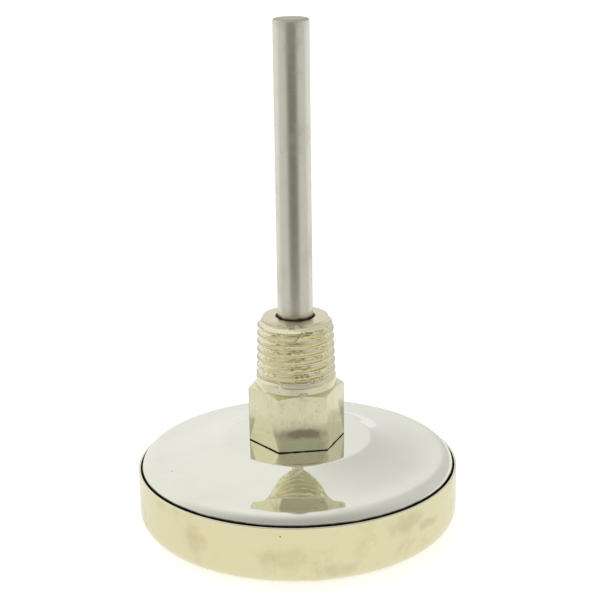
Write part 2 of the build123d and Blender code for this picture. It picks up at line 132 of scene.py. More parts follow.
def spun(name: str, outline: Sequence[Point], steps: int = 192) -> bpy.types.Object:
    """Turn an outline about Z, as on a lathe.

    Args:
        name: The new object's name.
        outline: (radius, height) points in millimetres; a ring's outline ends where it starts.
        steps: How many facets go round.

    Returns:
        The turned object.
    """
    deselect_all()
    bpy.ops.mesh.primitive_plane_add(size=MM)
    piece = bpy.context.object
    piece.name = name
    bpy.ops.object.mode_set(mode="EDIT")
    bpy.ops.mesh.select_all(action="SELECT")
    bpy.ops.mesh.merge(type="CENTER")
    radius, height = outline[0]
    bpy.ops.transform.translate(value=(radius * MM, 0, height * MM))
    for start, end in zip(outline, outline[1:]):
        step = ((end[0] - start[0]) * MM, 0, (end[1] - start[1]) * MM)
        bpy.ops.mesh.extrude_vertices_move(TRANSFORM_OT_translate={"value": step})
    bpy.ops.mesh.select_all(action="SELECT")
    bpy.ops.mesh.spin(steps=steps, angle=math.tau, center=(0, 0, 0), axis=(0, 0, 1))
    bpy.ops.mesh.select_all(action="SELECT")
    bpy.ops.mesh.remove_doubles(threshold=0.002 * MM)
    bpy.ops.mesh.normals_make_consistent(inside=False)
    bpy.ops.object.mode_set(mode="OBJECT")
    return piece


def bend(centre: Point, radius: float, start: float, end: float, steps: int = 8) -> list[Point]:
    """Points of an arc.

    Args:
        centre: The arc's centre.
        radius: Its radius.
        start: The first point's direction in degrees.
        end: The last point's direction in degrees.
        steps: How many chords make the arc.

    Returns:
        The points, both ends included.
    """
    turns = [math.radians(start + (end - start) * step / steps) for step in range(steps + 1)]
    return [(centre[0] + radius * math.cos(turn), centre[1] + radius * math.sin(turn)) for turn in turns]


# ---- shader groups ---------------------------------------------------------------------------
class Graph:
    """Adds nodes to one shader tree and joins them."""

    def __init__(self, tree: bpy.types.NodeTree) -> None:
        """Keep the tree that nodes are added to."""
        self.tree = tree

    def add(self, kind: str, inputs: dict[Any, Any] | None = None, **settings: Any) -> bpy.types.Node:
        """Add a node.

        Args:
            kind: The node's type without its ShaderNode prefix.
            inputs: Values for its sockets, or sockets to link to them.
            settings: The node's own properties.

        Returns:
            The new node.
        """
        node = self.tree.nodes.new("ShaderNode" + kind)
        for name, value in settings.items():
            setattr(node, name, value)
        for key, value in (inputs or {}).items():
            if isinstance(value, bpy.types.NodeSocket):
                self.tree.links.new(value, node.inputs[key])
            else:
                node.inputs[key].default_value = value
        return node

    def maths(self, operation: str, first: Any, second: Any = 0.0) -> bpy.types.NodeSocket:
        """Combine two numbers and return the result's socket."""
        return self.add("Math", {0: first, 1: second}, operation=operation).outputs[0]

    def ramp(self, value: Any, low: float, high: float) -> bpy.types.NodeSocket:
        """Ease a number from 0 at low to 1 at high."""
        return self.add("MapRange", {"Value": value, "From Min": low, "From Max": high},
                        interpolation_type="SMOOTHSTEP").outputs[0]

    def blend(self, mask: Any, first: Any, second: Any) -> bpy.types.NodeSocket:
        """Mix two colours by a mask."""
        return self.add("Mix", {0: mask, 6: rgba(first), 7: rgba(second)}, data_type="RGBA").outputs[2]

    def between(self, mask: Any, first: Any, second: Any) -> bpy.types.NodeSocket:
        """Mix two numbers by a mask."""
        return self.add("Mix", {0: mask, 2: first, 3: second}, data_type="FLOAT").outputs[0]

    def group(self, tree: bpy.types.NodeTree, **inputs: Any) -> bpy.types.Node:
        """Place a node group with its inputs set by name, underscores for spaces."""
        named = {key.replace("_", " "): value for key, value in inputs.items()}
        return self.add("Group", named, node_tree=tree)


def rgba(value: Any) -> Any:
    """Give a plain colour its alpha; leave sockets alone."""
    return (*value, 1.0) if isinstance(value, tuple) and len(value) == 3 else value


def new_group(name: str, inputs: dict[str, str], outputs: dict[str, str]) -> tuple[Graph, Any, Any]:
    """Start a shader node group.

    Args:
        name: The group's name.
        inputs: Socket kinds by name, such as Float or Vector.
        outputs: The same for what it puts out.

    Returns:
        The group's graph, its inputs' sockets and its output node.
    """
    tree = bpy.data.node_groups.new(name, "ShaderNodeTree")
    for label, kind in inputs.items():
        tree.interface.new_socket(name=label, in_out="INPUT", socket_type="NodeSocket" + kind)
    for label, kind in outputs.items():
        tree.interface.new_socket(name=label, in_out="OUTPUT", socket_type="NodeSocket" + kind)
    graph = Graph(tree)
    entry = tree.nodes.new("NodeGroupInput")
    return graph, entry.outputs, tree.nodes.new("NodeGroupOutput")


def finish_group(graph: Graph, exit_node: Any, **outputs: Any) -> bpy.types.NodeTree:
    """Link a group's results to its output node and return the group."""
    for label, socket in outputs.items():
        graph.tree.links.new(socket, exit_node.inputs[label.replace("_", " ")])
    return graph.tree


class Patterns:
    """The patterns that more than one finish uses, each a group built once."""

    def __init__(self) -> None:
        """Build every group."""
        self.unrolled = self._unrolled()
        self.lines = self._lines()
        self.clouds = self._clouds()
        self.specks = self._specks()
        self.spot = self._spot()
        self.fade = self._fade()

    def _unrolled(self) -> bpy.types.NodeTree:
        """Lay a turned surface flat: (arc length, height, radius), with its join at the back."""
        graph, entry, leave = new_group(
            "unrolled", {"Vector": "Vector", "Radius": "Float"}, {"Vector": "Vector"})
        axes = graph.add("SeparateXYZ", {0: entry["Vector"]}).outputs
        turn = graph.maths("ARCTAN2", axes[0], graph.maths("MULTIPLY", axes[1], -1.0))
        reach = graph.maths("SQRT", graph.maths(
            "ADD", graph.maths("MULTIPLY", axes[0], axes[0]), graph.maths("MULTIPLY", axes[1], axes[1])))
        arc = graph.maths("MULTIPLY", turn, entry["Radius"])
        flat = graph.add("CombineXYZ", {0: arc, 1: axes[2], 2: reach})
        return finish_group(graph, leave, Vector=flat.outputs[0])

    def _lines(self) -> bpy.types.NodeTree:
        """Fine uneven lines: noise turned and then stretched."""
        graph, entry, leave = new_group(
            "fine_lines", {"Vector": "Vector", "Turn": "Vector", "Stretch": "Vector"}, {"Height": "Float"})
        turned = graph.add("Mapping", {"Vector": entry["Vector"], "Rotation": entry["Turn"]},
                           vector_type="POINT")
        stretched = graph.add("VectorMath", {0: turned.outputs[0], 1: entry["Stretch"]}, operation="MULTIPLY")
        noise = graph.add("TexNoise", {"Vector": stretched.outputs[0], "Scale": 1.0, "Detail": 3.0,
                                       "Roughness": 0.6})
        return finish_group(graph, leave, Height=noise.outputs[0])

    def _clouds(self) -> bpy.types.NodeTree:
        """Soft patches that cover about a given share of the surface."""
        graph, entry, leave = new_group(
            "clouds", {"Vector": "Vector", "Scale": "Float", "Share": "Float"}, {"Mask": "Float"})
        noise = graph.add("TexNoise", {"Vector": entry["Vector"], "Scale": entry["Scale"], "Detail": 5.0,
                                       "Roughness": 0.62})
        level = graph.maths("SUBTRACT", 1.0, entry["Share"])
        rise = graph.maths("SUBTRACT", noise.outputs[0], graph.maths("MULTIPLY", level, 0.8))
        return finish_group(graph, leave, Mask=graph.ramp(rise, 0.0, 0.2))

    def _specks(self) -> bpy.types.NodeTree:
        """Scattered dots of uneven size."""
        graph, entry, leave = new_group(
            "specks", {"Vector": "Vector", "Scale": "Float", "Size": "Float", "Share": "Float"},
            {"Mask": "Float"})
        cells = graph.add("TexVoronoi", {"Vector": entry["Vector"], "Scale": entry["Scale"]})
        lot = graph.add("SeparateColor", {0: cells.outputs["Color"]}).outputs
        chosen = graph.maths("LESS_THAN", lot[0], entry["Share"])
        size = graph.maths("MULTIPLY", entry["Size"], graph.maths("ADD", lot[1], 0.4))
        near = graph.maths("DIVIDE", cells.outputs["Distance"], size)
        dot = graph.maths("SUBTRACT", 1.0, graph.ramp(near, 0.6, 1.0))
        return finish_group(graph, leave, Mask=graph.maths("MULTIPLY", dot, chosen))

    def _spot(self) -> bpy.types.NodeTree:
        """One ragged patch round a place."""
        graph, entry, leave = new_group(
            "ragged_spot", {"Vector": "Vector", "Centre": "Vector", "Reach": "Vector", "Ragged": "Float"},
            {"Mask": "Float"})
        offset = graph.add("VectorMath", {0: entry["Vector"], 1: entry["Centre"]}, operation="SUBTRACT")
        scaled = graph.add("VectorMath", {0: offset.outputs[0], 1: entry["Reach"]}, operation="DIVIDE")
        reach = graph.add("VectorMath", {0: scaled.outputs[0]}, operation="LENGTH").outputs["Value"]
        noise = graph.add("TexNoise", {"Vector": entry["Vector"], "Scale": 420.0, "Detail": 4.0,
                                       "Roughness": 0.65})
        wander = graph.maths("MULTIPLY", graph.maths("SUBTRACT", noise.outputs[0], 0.5), entry["Ragged"])
        edge = graph.maths("ADD", reach, wander)
        return finish_group(graph, leave, Mask=graph.maths("SUBTRACT", 1.0, graph.ramp(edge, 0.25, 1.0)))

    def _fade(self) -> bpy.types.NodeTree:
        """A mask that grows from one height or radius to another, with a ragged front, for stains, dark
        joints, painted highlights and painted shade.
        """
        graph, entry, leave = new_group(
            "ragged_fade", {"Vector": "Vector", "Radial": "Float", "Start": "Float", "Full": "Float",
                            "Ragged": "Float", "Above": "Float"}, {"Mask": "Float"})
        axes = graph.add("SeparateXYZ", {0: entry["Vector"]}).outputs
        level = graph.between(entry["Radial"], axes[1], axes[2])
        noise = graph.add("TexNoise", {"Vector": entry["Vector"], "Scale": 900.0, "Detail": 3.0,
                                       "Roughness": 0.6})
        wander = graph.maths("MULTIPLY", graph.maths("SUBTRACT", noise.outputs[0], 0.5), entry["Ragged"])
        mask = graph.ramp(graph.maths("ADD", level, wander), entry["Start"], entry["Full"])
        kept = graph.maths("GREATER_THAN", axes[1], entry["Above"])
        return finish_group(graph, leave, Mask=graph.maths("MULTIPLY", mask, kept))


class Lay(Enum):
    """Which way a metal's fine lines run."""

    NONE = "none"
    ROUND = "round the axis"
    ALONG = "along the axis"
    DIAGONAL = "aslant on the side"
    FLAT = "straight across"


@dataclass(frozen=True)
class Spot:
    """A stain at a place on the surface, in millimetres."""

    centre: tuple[float, float, float]
    reach: tuple[float, float, float]
    colour: Colour
    strength: float = 0.7
    ragged: float = 1.6
    dull: float = 0.15


@dataclass(frozen=True)
class Fade:
    """A colour change that sets in with height or with distance from the axis, in millimetres: stains and
    dark joints, and in some finishes a painted highlight and painted shade.

    It stays above one height, so that it can be kept off the far side of a sheet."""

    along: str
    start: float
    full: float
    colour: Colour
    strength: float = 1.0
    ragged: float = 0.0
    dull: float = 0.2
    above: float = -1.0


@dataclass(frozen=True)
class MetalFinish:
    """A metal's colour, polish, lay and wear, with its stains and the painted highlights and painted shade
    that some of its fades lay.
    """

    name: str
    colour: Colour
    tarnish: Colour
    roughness: float
    radius: float = 10.0
    lay: Lay = Lay.NONE
    line_height: float = 0.0
    line_width: float = 0.08
    tarnish_scale: float = 120.0
    tarnish_share: float = 0.4
    tarnish_strength: float = 0.5
    tarnish_dull: float = 0.12
    pit_size: float = 0.0
    pit_scale: float = 3000.0
    pit_share: float = 0.5
    pit_height: float = 0.0
    speck_scale: float = 900.0
    speck_size: float = 0.12
    speck_share: float = 0.0
    speck_colour: Colour = (0.05, 0.04, 0.03)
    spots: tuple[Spot, ...] = ()
    fades: tuple[Fade, ...] = ()

    def _line_stretch(self) -> tuple[float, float, float]:
        """Noise frequency along each unrolled axis, from the width of one line."""
        fine = 1.0 / (self.line_width * MM)
        long = fine / 60.0
        if self.lay is Lay.ALONG:
            return (fine, long, long)
        return (long, fine, fine)

    def build(self, patterns: Patterns) -> bpy.types.Material:
        """Make the material.

        Args:
            patterns: The shared groups.

        Returns:
            The new material.
        """
        material = bpy.data.materials.new(self.name)
        material.use_nodes = True
        graph = Graph(material.node_tree)
        shader = material.node_tree.nodes["Principled BSDF"]
        shader.inputs["Metallic"].default_value = 1.0
        place = graph.add("TexCoord").outputs["Object"]
        unrolled = graph.group(patterns.unrolled, Vector=place, Radius=self.radius * MM).outputs[0]
        flat = unrolled if self.lay in (Lay.ROUND, Lay.ALONG, Lay.DIAGONAL) else place
        clouds = graph.group(patterns.clouds, Vector=place, Scale=self.tarnish_scale,
                             Share=self.tarnish_share).outputs[0]
        tarnish = graph.maths("MULTIPLY", clouds, self.tarnish_strength)
        colour = graph.blend(tarnish, self.colour, self.tarnish)
        roughness = graph.between(clouds, self.roughness, self.roughness + self.tarnish_dull)
        for spot in self.spots:
            mask = graph.group(
                patterns.spot, Vector=place, Centre=tuple(v * MM for v in spot.centre),
                Reach=tuple(v * MM for v in spot.reach), Ragged=spot.ragged).outputs[0]
            mask = graph.maths("MULTIPLY", mask, spot.strength)
            colour = graph.blend(mask, colour, spot.colour)
            roughness = graph.between(mask, roughness, self.roughness + spot.dull)
        # Fades lay stains and dark joints, and in some finishes painted highlights and painted shade.
        for fade in self.fades:
            mask = graph.group(
                patterns.fade, Vector=unrolled, Radial=1.0 if fade.along == "radius" else 0.0,
                Start=fade.start * MM, Full=fade.full * MM, Ragged=fade.ragged * MM,
                Above=fade.above * MM).outputs[0]
            mask = graph.maths("MULTIPLY", mask, fade.strength)
            colour = graph.blend(mask, colour, fade.colour)
            roughness = graph.between(mask, roughness, self.roughness + fade.dull)
        height = None
        if self.line_height:
            turn = (0.0, 0.0, math.radians(38.0) if self.lay is Lay.DIAGONAL else 0.0)
            lines = graph.group(patterns.lines, Vector=flat, Turn=turn,
                                Stretch=self._line_stretch()).outputs[0]
            height = graph.maths("MULTIPLY", lines, self.line_height)
            roughness = graph.maths("ADD", roughness, graph.maths(
                "MULTIPLY", graph.maths("SUBTRACT", lines, 0.5), 0.1))
        if self.pit_height:
            pits = graph.group(patterns.specks, Vector=place, Scale=self.pit_scale, Size=self.pit_size,
                               Share=self.pit_share).outputs[0]
            sunk = graph.maths("MULTIPLY", pits, -self.pit_height)
            height = sunk if height is None else graph.maths("ADD", height, sunk)
            colour = graph.blend(graph.maths("MULTIPLY", pits, 0.45), colour, self.tarnish)
        if self.speck_share:
            specks = graph.group(patterns.specks, Vector=place, Scale=self.speck_scale, Size=self.speck_size,
                                 Share=self.speck_share).outputs[0]
            colour = graph.blend(graph.maths("MULTIPLY", specks, 0.8), colour, self.speck_colour)
        if height is not None:
            bump = graph.add("Bump", {"Height": height, "Strength": 1.0, "Distance": MM})
            graph.tree.links.new(bump.outputs[0], shader.inputs["Normal"])
        graph.tree.links.new(colour, shader.inputs["Base Color"])
        graph.tree.links.new(graph.add("Clamp", {0: roughness}).outputs[0], shader.inputs["Roughness"])
        return material


@dataclass(frozen=True)
class CoatFinish:
    """Paint, print, rubber or plastic."""

    name: str
    colour: Colour
    second: Colour
    roughness: float
    grain_scale: float = 2500.0
    grain_height: float = 0.004
    cloud_scale: float = 200.0
    speck_share: float = 0.0

    def build(self, patterns: Patterns) -> bpy.types.Material:
        """Make the material.

        Args:
            patterns: The shared groups.

        Returns:
            The new material.
        """
        material = bpy.data.materials.new(self.name)
        material.use_nodes = True
        graph = Graph(material.node_tree)
        shader = material.node_tree.nodes["Principled BSDF"]
        place = graph.add("TexCoord").outputs["Object"]
        clouds = graph.group(patterns.clouds, Vector=place, Scale=self.cloud_scale, Share=0.5).outputs[0]
        colour = graph.blend(clouds, self.colour, self.second)
        if self.speck_share:
            specks = graph.group(patterns.specks, Vector=place, Scale=1400.0, Size=0.2,
                                 Share=self.speck_share).outputs[0]
            colour = graph.blend(graph.maths("MULTIPLY", specks, 0.5), colour, (0.25, 0.22, 0.18))
        grain = graph.add("TexNoise", {"Vector": place, "Scale": self.grain_scale, "Detail": 3.0})
        height = graph.maths("MULTIPLY", grain.outputs[0], self.grain_height)
        bump = graph.add("Bump", {"Height": height, "Distance": MM})
        graph.tree.links.new(bump.outputs[0], shader.inputs["Normal"])
        graph.tree.links.new(colour, shader.inputs["Base Color"])
        graph.tree.links.new(graph.between(clouds, self.roughness, self.roughness + 0.08),
                             shader.inputs["Roughness"])
        return material


@dataclass(frozen=True)
class GlassFinish:
    """Clear window glass with a trace of haze."""

    name: str = "window_glass"
    colour: Colour = (0.93, 0.98, 0.96)
    haze: Colour = (0.90, 0.95, 0.93)
    roughness: float = 0.01

    def build(self, patterns: Patterns) -> bpy.types.Material:
        """Make the material.

        Args:
            patterns: The shared groups.

        Returns:
            The new material.
        """
        material = bpy.data.materials.new(self.name)
        material.use_nodes = True
        graph = Graph(material.node_tree)
        shader = material.node_tree.nodes["Principled BSDF"]
        shader.inputs["Transmission Weight"].default_value = 1.0
        shader.inputs["IOR"].default_value = 1.5
        place = graph.add("TexCoord").outputs["Object"]
        clouds = graph.group(patterns.clouds, Vector=place, Scale=90.0, Share=0.4).outputs[0]
        colour = graph.blend(clouds, self.colour, self.haze)
        graph.tree.links.new(colour, shader.inputs["Base Color"])
        graph.tree.links.new(graph.between(clouds, self.roughness, self.roughness + 0.03),
                             shader.inputs["Roughness"])
        return material


PALE_PLATE = MetalFinish(
    "polished_pale_plate_painted_light", (0.80, 0.745, 0.47), (0.56, 0.45, 0.22), 0.16, radius=27.5, lay=Lay.DIAGONAL,
    line_height=0.0008, line_width=0.10, tarnish_scale=150.0, tarnish_share=0.36, tarnish_strength=0.28,
    tarnish_dull=0.08, speck_scale=700.0, speck_size=0.10, speck_share=0.05,
    spots=(
        Spot((-1.5, -27.4, 5.0), (6.5, 3.0, 3.0), (0.52, 0.38, 0.18), strength=0.26),
        Spot((6.5, -27.0, 2.6), (6.0, 3.0, 1.8), (0.50, 0.40, 0.22), strength=0.26),
        Spot((17.5, -21.0, 8.2), (5.5, 5.0, 2.4), (0.42, 0.35, 0.2), strength=0.3),
        Spot((21.0, -17.0, 6.2), (4.0, 4.0, 1.2), (0.42, 0.35, 0.22), strength=0.3),
        Spot((-17.0, -22.0, 6.0), (3.0, 3.0, 3.0), (0.55, 0.4, 0.2), strength=0.3),
    ),
    fades=(
        Fade("height", 0.35, 0.05, (0.36, 0.30, 0.18), strength=0.45, ragged=0.3),
        # Painted highlight: a lighter, glossier band along the band's top edge.
        Fade("height", 9.95, 10.12, (0.86, 0.84, 0.70), strength=0.5, ragged=0.1, dull=0.05),
        # Painted shade: the band's inner wall near its top edge is painted near-black for the dark gap
        # between band and back plate.
        Fade("radius", 27.16, 27.1, (0.004, 0.004, 0.003), strength=1.0, ragged=0.08, dull=0.5, above=7.0),
    ))
FITTING_PLATE = MetalFinish(
    "thin_plated_brass_painted_highlight", (0.79, 0.76, 0.52), (0.36, 0.29, 0.16), 0.2, radius=7.0, lay=Lay.ALONG,
    line_height=0.0010, line_width=0.14, tarnish_scale=420.0, tarnish_share=0.36, tarnish_strength=0.16,
    tarnish_dull=0.1, pit_size=0.3, pit_scale=3600.0, pit_share=0.3, pit_height=0.003,
    speck_scale=2400.0, speck_size=0.2, speck_share=0.10,
    spots=(
        Spot((7.0, -4.0, SEAT_HEIGHT), (1.8, 1.8, 0.6), (0.14, 0.08, 0.04), strength=0.9),
        Spot((1.0, -7.1, SEAT_HEIGHT + 3.2), (7.0, 2.0, 1.3), (0.30, 0.25, 0.18),
             strength=0.75, ragged=1.2, dull=0.25),
    ),
    fades=(
        Fade("height", SEAT_HEIGHT + 0.26, SEAT_HEIGHT + 0.1, (0.006, 0.005, 0.004),
             strength=1.0, ragged=0.22, dull=0.5),
        # Painted highlight: a lighter, glossier band round the hexagon's top edge, where its edges would
        # catch the light.
        Fade("height", SEAT_HEIGHT + 9.7, SEAT_HEIGHT + 10.3, (0.88, 0.83, 0.60),
             strength=0.8, ragged=0.2, dull=-0.04),
        Fade("height", FITTING_TOP - 0.9, FITTING_TOP - 0.1, (0.60, 0.54, 0.38), strength=0.4, ragged=0.5),
    ))
MIRROR_SHEET = MetalFinish(
    "mirror_sheet_painted_gap_shade", (0.87, 0.87, 0.765), (0.80, 0.79, 0.68), 0.035, tarnish_scale=90.0, tarnish_share=0.4,
    tarnish_strength=0.4, tarnish_dull=0.05, speck_scale=520.0, speck_size=0.09, speck_share=0.10,
    speck_colour=(0.16, 0.14, 0.10),
    fades=(
        # Painted shade: the plate's skirt inside the band is painted near-black for the dark gap between
        # plate and band.
        Fade("radius", 26.78, 26.86, (0.02, 0.014, 0.008), strength=1.0, ragged=0.08, dull=0.5),
    ))
STEM_SATIN = MetalFinish(
    "satin_tube", (0.78, 0.765, 0.665), (0.55, 0.52, 0.42), 0.26, radius=3.0, lay=Lay.ALONG,
    line_height=0.0015, line_width=0.05, tarnish_scale=180.0, tarnish_share=0.42, tarnish_strength=0.3,
    speck_scale=1100.0, speck_size=0.12, speck_share=0.08,
    fades=(
        Fade("height", FITTING_TOP + 0.7, FITTING_TOP + 0.1, (0.10, 0.06, 0.03), strength=0.9, ragged=0.9),
        Fade("height", TIP_TOP - 0.25, TIP_TOP - 0.06, (0.38, 0.36, 0.27),
             strength=0.85, ragged=0.2, dull=0.15),
    ))
MILL_STEEL = MetalFinish(
    "mill_steel", (0.60, 0.60, 0.58), (0.40, 0.39, 0.36), 0.32, lay=Lay.FLAT, line_height=0.002)
TURNED_BRASS = MetalFinish(
    "turned_brass", (0.88, 0.68, 0.32), (0.48, 0.33, 0.14), 0.2, radius=3.0, lay=Lay.ROUND, line_height=0.002)
BIMETAL = MetalFinish(
    "bimetal_strip", (0.60, 0.55, 0.48), (0.45, 0.36, 0.26), 0.3, radius=2.0, lay=Lay.ROUND,
    line_height=0.002)
# Partly real dull solder, partly painted shade: the solder ring is made near-black for the shadow in its
# recess.
SOLDER_AND_PAINTED_SHADE = MetalFinish(
    "dull_solder_and_painted_shade", (0.10, 0.09, 0.07), (0.04, 0.035, 0.03), 0.55, tarnish_scale=900.0, tarnish_share=0.5,
    pit_size=0.5, pit_scale=2500.0, pit_share=0.5, pit_height=0.03)
RUBBER = CoatFinish("black_rubber", (0.018, 0.018, 0.018), (0.03, 0.03, 0.028), 0.6)
SPACER_WHITE = CoatFinish("spacer_white", (0.82, 0.82, 0.79), (0.78, 0.78, 0.74), 0.45)
DIAL_WHITE = CoatFinish("dial_enamel", (0.90, 0.90, 0.87), (0.87, 0.87, 0.83), 0.35, grain_height=0.002,
                        speck_share=0.02)
INK_BLACK = CoatFinish("printed_black", (0.012, 0.012, 0.012), (0.02, 0.02, 0.02), 0.5)
INK_RED = CoatFinish("printed_red", (0.55, 0.03, 0.02), (0.50, 0.03, 0.02), 0.5)
POINTER_BLACK = CoatFinish("pointer_black", (0.012, 0.012, 0.013), (0.02, 0.02, 0.02), 0.3)


# ---- case ------------------------------------------------------------------------------------
@dataclass
class Case:
    """The band, the back plate and the window with what holds it."""

    patterns: Patterns
    sheet: float = 0.4
    corner: float = 3.0
    lip_width: float = 1.9
    edge_round: float = 0.15
    plate_sheet: float = 0.5
    plate_gap: float = 0.2
    roll_radius: float = 2.1
    annulus_width: float = 1.2
    annulus_slope: float = 1.0
    valley_radius: float = 17.0
    flare_foot_slope: float = 11.0
    flare_top_slope: float = 25.0
    seat_bend: float = 1.6
    seat_radius: float = 12.4
    neck_hole: float = 4.6
    foot_width: float = 1.6
    window_edge: float = 0.2

    def make_band(self) -> None:
        """Spin the drawn band: rounded front corner, flat lip and a broken back edge."""
        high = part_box("bezel_band")[1]
        outer = high.x / MM
        top = high.z / MM
        inner = outer - self.sheet
        middle = outer - self.corner
        lip = middle - self.lip_width
        edge = self.edge_round
        outline = bend((lip + edge, edge), edge, 180, 270, 3)
        outline += bend((middle, self.corner), self.corner, 270, 360, 14)
        outline += [(outer, top * 0.5), (outer, top - edge * 2)]
        outline += bend((outer - edge, top - edge), edge, 0, 90, 4)
        outline += bend((inner + edge, top - edge), edge, 90, 180, 4)
        outline += [(inner, self.corner + 1.0)]
        outline += bend((middle, self.corner), self.corner - self.sheet, 360, 270, 8)
        outline += bend((lip + edge, self.sheet - edge), edge, 90, 180, 3)
        outline += [outline[0]]
        band = spun("case_band", outline, 256)
        smooth(band, 35)
        place_on(band, CASE_BODY, PALE_PLATE.build(self.patterns), ["bezel_band"])

    def plate_outside(self, depth: float) -> list[Point]:
        """Points of the back plate's outside, or of the parallel curve that far under it.

        Args:
            depth: How far under the outside, in millimetres.

        Returns:
            Points from the seat out to the top of the skirt.
        """
        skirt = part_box("bezel_band")[1].x / MM - self.sheet - self.plate_gap
        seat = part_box("back_plate")[1].z / MM
        slope_rise = math.sin(math.radians(self.annulus_slope))
        foot_rise = math.sin(math.radians(self.flare_foot_slope))
        top_rise = math.sin(math.radians(self.flare_top_slope))
        annulus_end = skirt - self.roll_radius * (1 + slope_rise)
        valley_end = annulus_end - self.annulus_width * math.cos(math.radians(self.annulus_slope))
        flare_end = valley_end - self.valley_radius * (foot_rise + slope_rise)
        flare_start = self.seat_radius + self.seat_bend * top_rise
        flare_radius = (flare_end - flare_start) / (top_rise - foot_rise)
        heading = 0.0
        place = Vector((self.seat_radius, seat - depth))
        points = [tuple(place)]
        bends = [
            (self.seat_bend, -self.flare_top_slope, 10),
            (-flare_radius, -self.flare_foot_slope, 30),
            (-self.valley_radius, self.annulus_slope, 24),
            (0.0, self.annulus_slope, 8),
            (self.roll_radius, -90.0, 20),
        ]
        for radius, next_heading, steps in bends:
            if not radius:
                turn = math.radians(heading)
                step = Vector((math.cos(turn), math.sin(turn))) * self.annulus_width / steps
                for _ in range(steps):
                    place = place + step
                    points.append(tuple(place))
            else:
                radius -= depth
                turn = math.radians(heading)
                centre = place - Vector((-math.sin(turn), math.cos(turn))) * radius
                for number in range(1, steps + 1):
                    turn = math.radians(heading + (next_heading - heading) * number / steps)
                    place = centre + Vector((-math.sin(turn), math.cos(turn))) * radius
                    points.append(tuple(place))
            heading = next_heading
        return points

    def make_back_plate(self) -> None:
        """Spin the polished pressing with its flare, valley, rolled edge and pressed foot."""
        low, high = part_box("back_plate")
        outside = self.plate_outside(0.0)
        inside = self.plate_outside(self.plate_sheet)
        foot = low.z / MM
        flange = high.x / MM
        skirt = outside[-1][0]
        outline = [(self.neck_hole, high.z / MM)]
        outline += outside
        outline += [(skirt, foot + self.plate_sheet), (flange, foot + self.plate_sheet), (flange, foot)]
        outline += [(flange - self.foot_width, foot), (skirt - self.plate_sheet, foot + self.plate_sheet)]
        outline += inside[::-1]
        outline += [(self.neck_hole, high.z / MM - self.plate_sheet), outline[0]]
        plate = spun("back_plate_polished", outline, 320)
        smooth(plate, 40)
        place_on(plate, CASE_BODY, MIRROR_SHEET.build(self.patterns), ["back_plate"])

    def make_window(self) -> None:
        """Spin the glass disc with ground edges."""
        low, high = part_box("window")
        radius = high.x / MM
        bottom = low.z / MM
        top = high.z / MM
        edge = self.window_edge
        outline = [(0.0, bottom), (radius - edge, bottom), (radius, bottom + edge), (radius, top - edge),
                   (radius - edge, top), (0.0, top)]
        window = spun("window_glass_disc", outline, 160)
        smooth(window, 20)
        place_on(window, CASE_BODY, GlassFinish().build(self.patterns), ["window"])

    def make(self) -> None:
        """Build and dress the case."""
        self.make_band()
        self.make_back_plate()
        self.make_window()


# ---- stem ------------------------------------------------------------------------------------
@dataclass
class Stem:
    """The tube, its end cap and the fitting at its root."""

    patterns: Patterns
    wall: float = 0.5
    necking: float = 0.2
    tip_round: float = 0.4
    merge_reach: float = 0.002
    smooth_angle: float = 24.0

    def make_tube(self, finish: bpy.types.Material) -> None:
        """Spin the tube, drawn down where it stands in the fitting."""
        low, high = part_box("stem_tube")
        radius = high.x / MM
        inner = radius - self.wall
        bottom = low.z / MM
        top = high.z / MM
        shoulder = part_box("hex_fitting")[1].z / MM
        neck = radius - self.necking
        outline = [(inner, bottom), (neck, bottom), (neck, shoulder), (radius, shoulder)]
        outline += [(radius, (shoulder + top) / 2), (radius, top), (inner, top), (inner, bottom)]
        tube = spun("stem_satin_tube", outline, 128)
        smooth(tube)
        place_on(tube, CASE_BODY, finish, ["stem_tube"])

    def make_tip(self, finish: bpy.types.Material) -> None:
        """Spin the end cap with its rounded edge."""
        low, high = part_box("stem_tip")
        radius = high.x / MM
        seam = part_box("stem_tube")[1].z / MM
        top = high.z / MM
        outline = [(0.0, low.z / MM), (radius - self.wall, low.z / MM), (radius - self.wall, seam)]
        outline += [(radius, seam), (radius, (seam + top) / 2)]
        outline += bend((radius - self.tip_round, top - self.tip_round), self.tip_round, 0, 90, 8)
        outline += [(radius * 0.4, top - 0.01), (0.0, top)]
        tip = spun("stem_end_cap", outline, 128)
        smooth(tip)
        place_on(tip, CASE_BODY, finish, ["stem_tip"])

    def make_fitting(self, node: bpy.types.Object) -> None:
        """Copy the fitting, close its surface and shade its curved faces smooth.

        Args:
            node: The frame's fitting.
        """
        mesh = node.data.copy()
        mesh.transform(node.matrix_world)
        piece = bpy.data.objects.new("fitting_turned", mesh)
        bpy.context.scene.collection.objects.link(piece)
        select_only(piece)
        bpy.ops.object.mode_set(mode="EDIT")
        bpy.ops.mesh.select_all(action="SELECT")
        bpy.ops.mesh.remove_doubles(threshold=self.merge_reach * MM)
        bpy.ops.mesh.dissolve_degenerate(threshold=self.merge_reach * MM)
        bpy.ops.object.mode_set(mode="OBJECT")
        smooth(piece, self.smooth_angle)
        place_on(piece, CASE_BODY, FITTING_PLATE.build(self.patterns), ["hex_fitting"])

    def make(self, node: bpy.types.Object) -> None:
        """Build and dress the stem and its fitting."""
        finish = STEM_SATIN.build(self.patterns)
        self.make_tube(finish)
        self.make_tip(finish)
        self.make_fitting(node)


